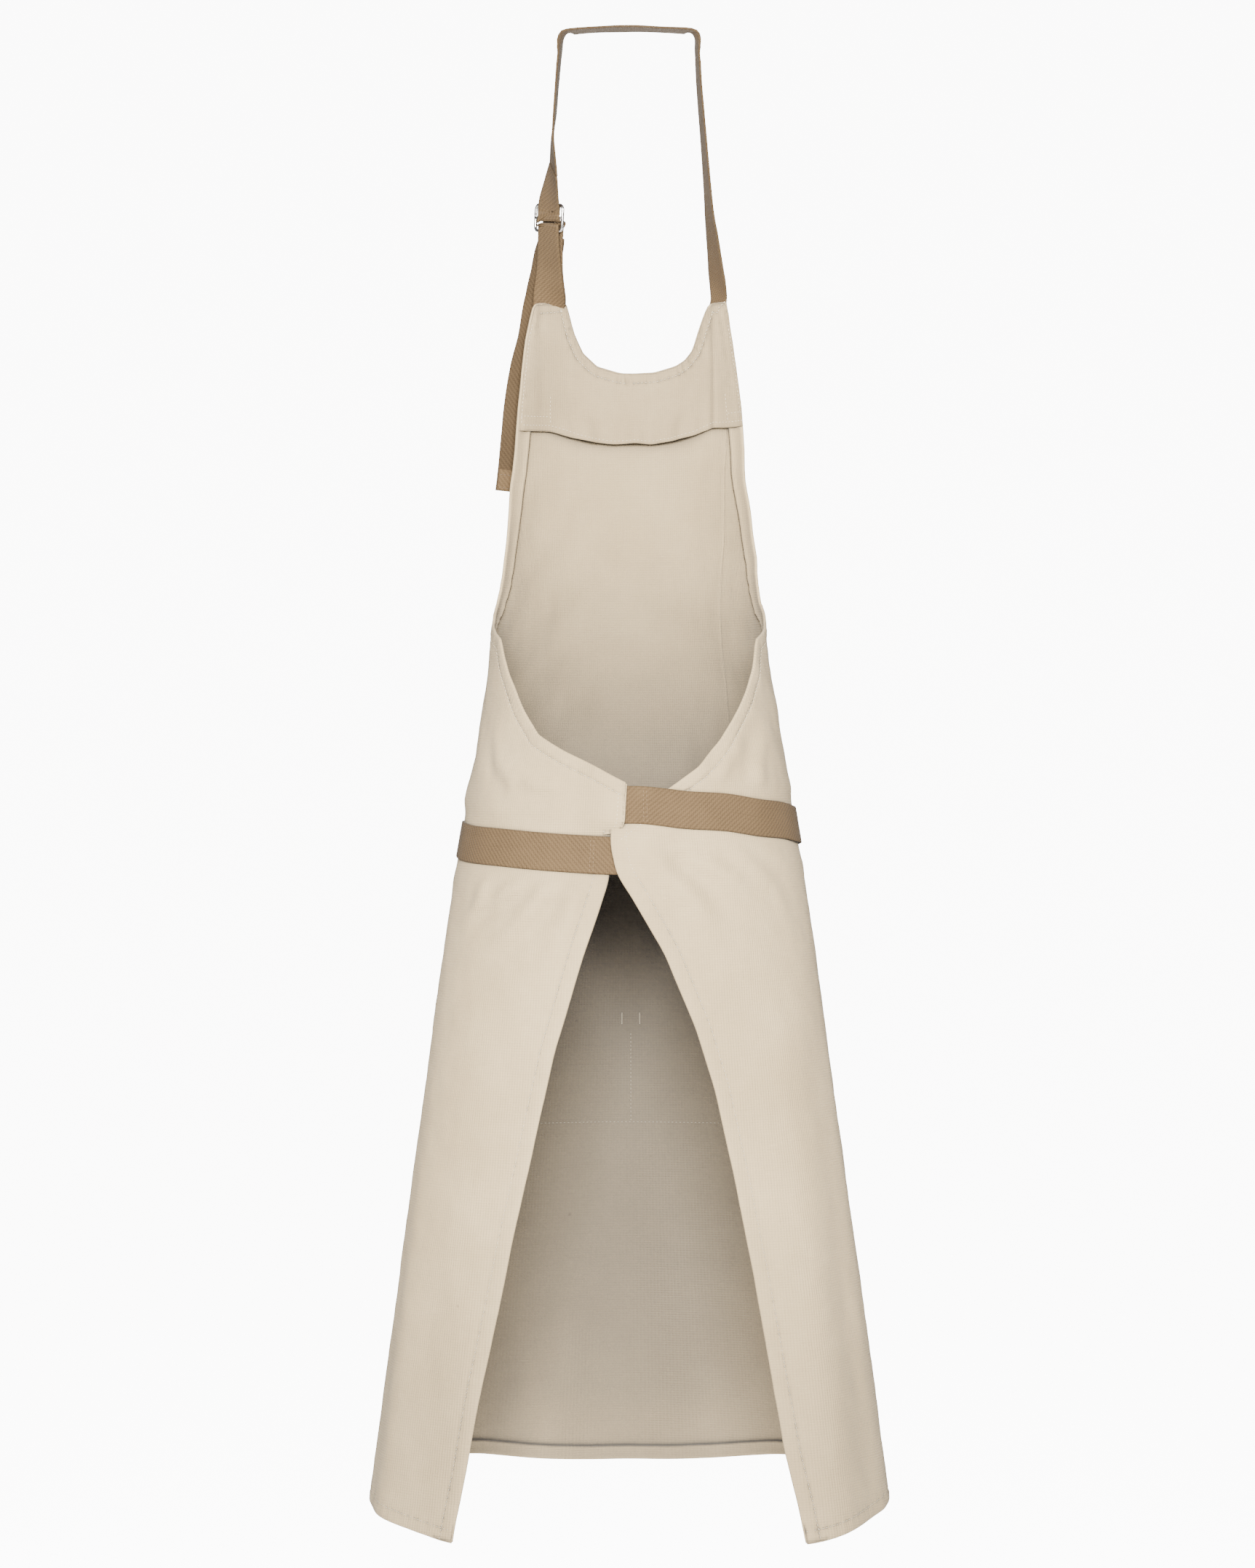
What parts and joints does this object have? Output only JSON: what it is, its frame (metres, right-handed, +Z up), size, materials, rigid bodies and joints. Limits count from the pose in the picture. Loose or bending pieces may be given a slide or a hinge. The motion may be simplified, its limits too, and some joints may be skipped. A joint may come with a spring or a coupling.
{
  "type": "butcher apron",
  "caption": "Worn-shape canvas apron with a high bib, wrap-round skirt open at the back, adjustable webbing neck loop and crossed webbing waist straps tied in front.",
  "frame": {"origin": "middle of the underside of the neck strap, where it rests behind the neck", "axes": "+Z up; the wearer faces +Y, so the open back is towards -Y; +X is towards the wearer's right hand"},
  "size_m": [0.4262, 0.2297, 1.2106],
  "materials": {
    "canvas": "matte cotton canvas",
    "canvas_lining": "matte cotton canvas, inner layer",
    "webbing": "woven cotton webbing",
    "thread": "sewing thread",
    "buckle_metal": "polished wire"
  },
  "bodies": {
    "apron": {"bib_panel": "canvas", "bib_facing": "canvas_lining", "skirt_front": "canvas", "front_pocket": "canvas", "bottom_hem_front": "canvas_lining", "tie_knot": "webbing", "side_panel_left": "canvas", "back_wing_left": "canvas", "wing_hem_left": "canvas_lining", "armhole_hem_left": "canvas_lining", "bottom_hem_left": "canvas_lining", "waist_strap_left": "webbing", "strap_bartack_left": "thread", "bow_loop_left": "webbing", "neck_anchor_left": "webbing", "side_panel_right": "canvas", "back_wing_right": "canvas", "wing_hem_right": "canvas_lining", "armhole_hem_right": "canvas_lining", "bottom_hem_right": "canvas_lining", "waist_strap_right": "webbing", "strap_bartack_right": "thread", "bow_loop_right": "webbing", "neck_anchor_right": "webbing"},
    "neck_loop": {"neck_strap": "webbing", "buckle_tab": "webbing"},
    "buckle": {"buckle_frame": "buckle_metal", "buckle_bar": "buckle_metal", "strap_fold": "webbing"},
    "neck_tail": {"strap_tail": "webbing", "tail_end_fold": "webbing"},
    "flap_left": {"back_flap_left": "canvas", "flap_edge_hem_left": "canvas_lining", "flap_bottom_hem_left": "canvas_lining"},
    "tie_left": {"tie_tail_left": "webbing"},
    "flap_right": {"back_flap_right": "canvas", "flap_edge_hem_right": "canvas_lining", "flap_bottom_hem_right": "canvas_lining"},
    "tie_right": {"tie_tail_right": "webbing"}
  },
  "joints": [
    {"name": "neck_loop_lift", "type": "hinge", "parent": "apron", "child": "neck_loop", "pos_m": [0, 0.08, -0.2035], "axis": [-1, 0, 0], "range_deg": [0, 120]},
    {"name": "buckle_swivel", "type": "hinge", "parent": "neck_loop", "child": "buckle", "pos_m": [-0.065, 0.0465, -0.15], "axis": [-0.6191, 0.6598, 0.426], "range_deg": [-12, 12]},
    {"name": "neck_tail_hang", "type": "hinge", "parent": "neck_loop", "child": "neck_tail", "pos_m": [-0.0635, 0.068, -0.165], "axis": [-1, 0, 0], "range_deg": [-120, 0]},
    {"name": "flap_open_left", "type": "hinge", "parent": "apron", "child": "flap_left", "pos_m": [-0.14175, -0.01778, -0.69], "axis": [-0.1348, -0.0054, -0.9909], "range_deg": [0, 45]},
    {"name": "flap_open_right", "type": "hinge", "parent": "apron", "child": "flap_right", "pos_m": [0.14175, -0.01778, -0.69], "axis": [-0.1348, 0.0054, 0.9909], "range_deg": [0, 45]},
    {"name": "tie_swing_left", "type": "hinge", "parent": "apron", "child": "tie_left", "pos_m": [-0.0164, 0.115, -0.669], "axis": [1, 0, 0], "range_deg": [0, 60]},
    {"name": "tie_swing_right", "type": "hinge", "parent": "apron", "child": "tie_right", "pos_m": [0.0164, 0.115, -0.669], "axis": [1, 0, 0], "range_deg": [0, 60]}
  ],
  "couplings": [
    {"joint": "neck_tail_hang", "follows": "neck_loop_lift", "ratio": -1}
  ]
}
